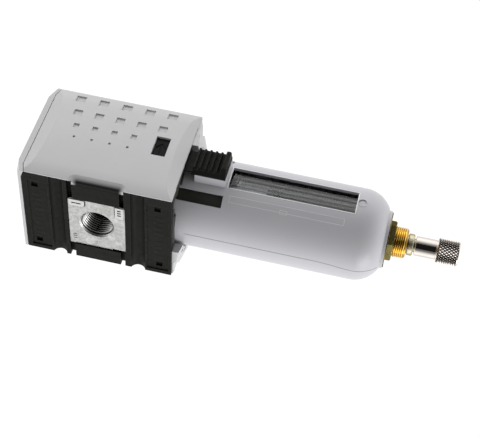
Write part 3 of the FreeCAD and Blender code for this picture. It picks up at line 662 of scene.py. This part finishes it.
# ------------------------------------------- clear reservoir with draw marks
def reservoir():
    rng = random.Random(7)
    waves = [(k, rng.uniform(0, 2 * math.pi), a) for k, a in
             ((11, 0.030), (19, 0.030), (27, 0.028), (38, 0.026), (53, 0.022), (71, 0.014))]
    wav2 = [(k, rng.uniform(0, 2 * math.pi), a) for k, a in
            ((9, 0.05), (17, 0.045), (29, 0.035), (41, 0.03), (59, 0.016))]

    def mod(base, ws, amt=1.0):
        return lambda t: base + 1.7 * amt * sum(a * math.cos(k * t + p) for k, p, a in ws)
    cr, cz = 8.5, -128.6
    Ro, Ri = 20.9 - cr, 18.7 - cr
    rows = [(16.2, -44.0), (19.0, -44.0), (19.0, -47.2), (17.5, -47.2), (17.5, -49.2), (19.0, -49.2), (19.0, -61.4),
            (mod(21.0, waves, 0.3), -62.4)]
    for k in range(13):
        rows.append((mod(20.9, waves), -63.2 - k * (64.6 / 12)))
    for k in range(1, 9):
        a = math.radians(90 * k / 8)
        rows.append((mod(cr + Ro * math.cos(a), waves, max(0.0, 1 - k / 4)), cz - Ro * math.sin(a)))
    rows += [(8.1, cz - Ro), (8.1, cz - Ri)]
    for k in range(8, 0, -1):
        a = math.radians(90 * k / 8)
        rows.append((mod(cr + Ri * math.cos(a), wav2, max(0.0, 1 - k / 4)), cz - Ri * math.sin(a)))
    for k in range(12, -1, -1):
        rows.append((mod(18.7, wav2), -66.0 - k * (61.8 / 12)))
    rows += [(18.7, -65.0), (16.2, -61.5)]
    vs, fs = lathe(rows, 360)
    ob = add_mesh("reservoir_moulded", vs, fs, M["clear"], "bowl", angle=35)
    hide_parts("reservoir")


reservoir()


# ------------------------------------- coil springs, each with its own mesh
def coil(name, node, coil_r, wire_r, z0, z1, turns, x, y):
    lo_z, hi_z = z0 + wire_r, z1 - wire_r
    n, m = int(turns * 28), 10
    vs, fs = [], []
    for i in range(n + 1):
        t = 2 * math.pi * turns * i / n
        rad = Vector((math.cos(t), math.sin(t), 0.0))
        p = Vector((x, y, lo_z + (hi_z - lo_z) * i / n)) + rad * coil_r
        tan = Vector((-math.sin(t) * coil_r, math.cos(t) * coil_r, (hi_z - lo_z) / (2 * math.pi * turns))).normalized()
        bi = tan.cross(rad).normalized()
        for k in range(m):
            a = 2 * math.pi * k / m
            vs.append(tuple(p + (rad * math.cos(a) + bi * math.sin(a)) * wire_r))
    for i in range(n):
        for k in range(m):
            l = (k + 1) % m
            fs.append((i * m + k, i * m + l, (i + 1) * m + l, (i + 1) * m + k))
    fs.append(tuple(range(m)))
    fs.append(tuple(n * m + k for k in reversed(range(m))))
    ob = add_mesh(name, vs, fs, M["steel"], "bowl", angle=50)
    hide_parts(node)
    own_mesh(ob)


coil("lock_spring_coil", "lock_spring", 0.62, 0.16, -59.35, -50.25, 9, 0.0, -24.9)
coil("drain_spring_coil", "drain_spring", 2.45, 0.30, -149.18, -140.02, 6, 0.0, 0.0)

# ---------------------------------------------------------- floor and light
# A light tent: bright all round, dimmer towards the side the camera works from.
floor_mesh = bpy.data.meshes.new("floor")
floor_z = cad_lo.z - 1.3
s = 4.0
floor_mesh.from_pydata([(-s, -s, floor_z), (s, -s, floor_z), (s, s, floor_z), (-s, s, floor_z)], [], [(0, 1, 2, 3)])
floor = bpy.data.objects.new("floor", floor_mesh)
bpy.context.scene.collection.objects.link(floor)
fm, fnt, fb = new_mat("floor_pale")
fn = noise(fnt, 3.0, 3.0, 0.5, obj_coord(fnt))
fr = ramp(fnt, fn.outputs[0], [(0.3, (0.88, 0.88, 0.88, 1)), (0.7, (0.90, 0.90, 0.90, 1))])
fnt.links.new(fr.outputs[0], fb.inputs["Base Color"])
fb.inputs["Roughness"].default_value = 0.8
fb.inputs["Specular IOR Level"].default_value = 0.1
fb.inputs["Emission Color"].default_value = (1, 1, 1, 1)
fb.inputs["Emission Strength"].default_value = 0.25
floor_mesh.materials.append(fm)
floor.visible_diffuse = False
floor.visible_glossy = False
floor.visible_transmission = False
floor.visible_shadow = False

# a plain white backdrop all round, seen by the camera only
bm = bmesh.new()
bmesh.ops.create_icosphere(bm, subdivisions=4, radius=3.6)
for v in bm.verts:
    v.co.z = v.co.z * 0.6
dome_mesh = bpy.data.meshes.new("backdrop")
bm.to_mesh(dome_mesh)
bm.free()
dome = bpy.data.objects.new("backdrop", dome_mesh)
bpy.context.scene.collection.objects.link(dome)
dm, dnt, db = new_mat("backdrop_white")
db.inputs["Base Color"].default_value = (0, 0, 0, 1)
db.inputs["Specular IOR Level"].default_value = 0.0
db.inputs["Emission Color"].default_value = (1, 1, 1, 1)
db.inputs["Emission Strength"].default_value = 1.05
dome_mesh.materials.append(dm)
dome.visible_diffuse = False
dome.visible_glossy = False
dome.visible_transmission = False
dome.visible_shadow = False
dome.visible_volume_scatter = False

world = bpy.data.worlds.new("world")
bpy.context.scene.world = world
world.use_nodes = True
wnt = world.node_tree
for n in list(wnt.nodes):
    wnt.nodes.remove(n)
wout = wnt.nodes.new("ShaderNodeOutputWorld")
wbg = wnt.nodes.new("ShaderNodeBackground")
wnt.links.new(wbg.outputs[0], wout.inputs[0])
wtc = wnt.nodes.new("ShaderNodeTexCoord")
dot = wnt.nodes.new("ShaderNodeVectorMath")
dot.operation = "DOT_PRODUCT"
wnt.links.new(wtc.outputs["Generated"], dot.inputs[0])
dot.inputs[1].default_value = (-0.690, -0.714, -0.115)
mr = wnt.nodes.new("ShaderNodeMapRange")
mr.inputs["From Min"].default_value = -1.0
mr.inputs["From Max"].default_value = 1.0
wnt.links.new(dot.outputs["Value"], mr.inputs["Value"])
LR = [(0.0, 0.90), (0.20, 1.00), (0.36, 1.42), (0.46, 1.50), (0.58, 1.32), (0.67, 1.04), (0.75, 0.72), (0.82, 0.39), (0.87, 0.215), (1.0, 0.17)]
wr = wnt.nodes.new("ShaderNodeValToRGB")
els = wr.color_ramp.elements
els[0].position, els[0].color = 0.0, g(LR[0][1] / 2)
els[1].position, els[1].color = 1.0, g(LR[-1][1] / 2)
for p, v in LR[1:-1]:
    e = els.new(p)
    e.color = g(v / 2)
wnt.links.new(mr.outputs[0], wr.inputs[0])
wnt.links.new(wr.outputs[0], wbg.inputs[0])
wbg.inputs[1].default_value = 2.0


def area(name, loc, target, size, power, size_y=None, color=(1, 1, 1)):
    d = bpy.data.lights.new(name, "AREA")
    d.energy = power
    d.color = color
    if size_y:
        d.shape = "RECTANGLE"
        d.size, d.size_y = size, size_y
    else:
        d.size = size
    o = bpy.data.objects.new(name, d)
    bpy.context.scene.collection.objects.link(o)
    v = (Vector(target) - Vector(loc))
    o.matrix_world = Matrix.Translation(loc) @ v.to_track_quat("-Z", "Y").to_matrix().to_4x4()
    return o


area("key", (0.75, -0.65, 0.35), (0, 0, -0.06), 0.4, 0.8)
area("fill_low", (-0.62, 0.42, -0.62), (0, 0, -0.05), 0.5, 2.6)

# a dark studio flag that only shows in reflections, behind the camera's place
flag_mesh = bpy.data.meshes.new("flag")
fd = Vector((-0.648, -0.753, -0.115)).normalized()
fu = Vector((0.0, 0.0, 1.0))
fs_ = fd.cross(fu).normalized()
fu = fs_.cross(fd).normalized()
fc = fd * 1.6
rim = [fc + fs_ * (0.98 * math.cos(2 * math.pi * k / 48)) + fu * (1.25 * math.sin(2 * math.pi * k / 48)) for k in range(48)]
flag_mesh.from_pydata([tuple(v) for v in rim], [], [tuple(range(48))])
flag = bpy.data.objects.new("flag", flag_mesh)
bpy.context.scene.collection.objects.link(flag)
gm, gnt, gb = new_mat("flag_black")
gb.inputs["Base Color"].default_value = (0.01, 0.01, 0.01, 1)
gb.inputs["Roughness"].default_value = 1.0
gb.inputs["Specular IOR Level"].default_value = 0.0
flag_mesh.materials.append(gm)
flag.visible_camera = False
flag.visible_diffuse = False
flag.visible_transmission = False
flag.visible_shadow = False
flag.visible_volume_scatter = False

bpy.context.scene.view_settings.view_transform = "Standard"
bpy.context.scene.view_settings.look = "None"
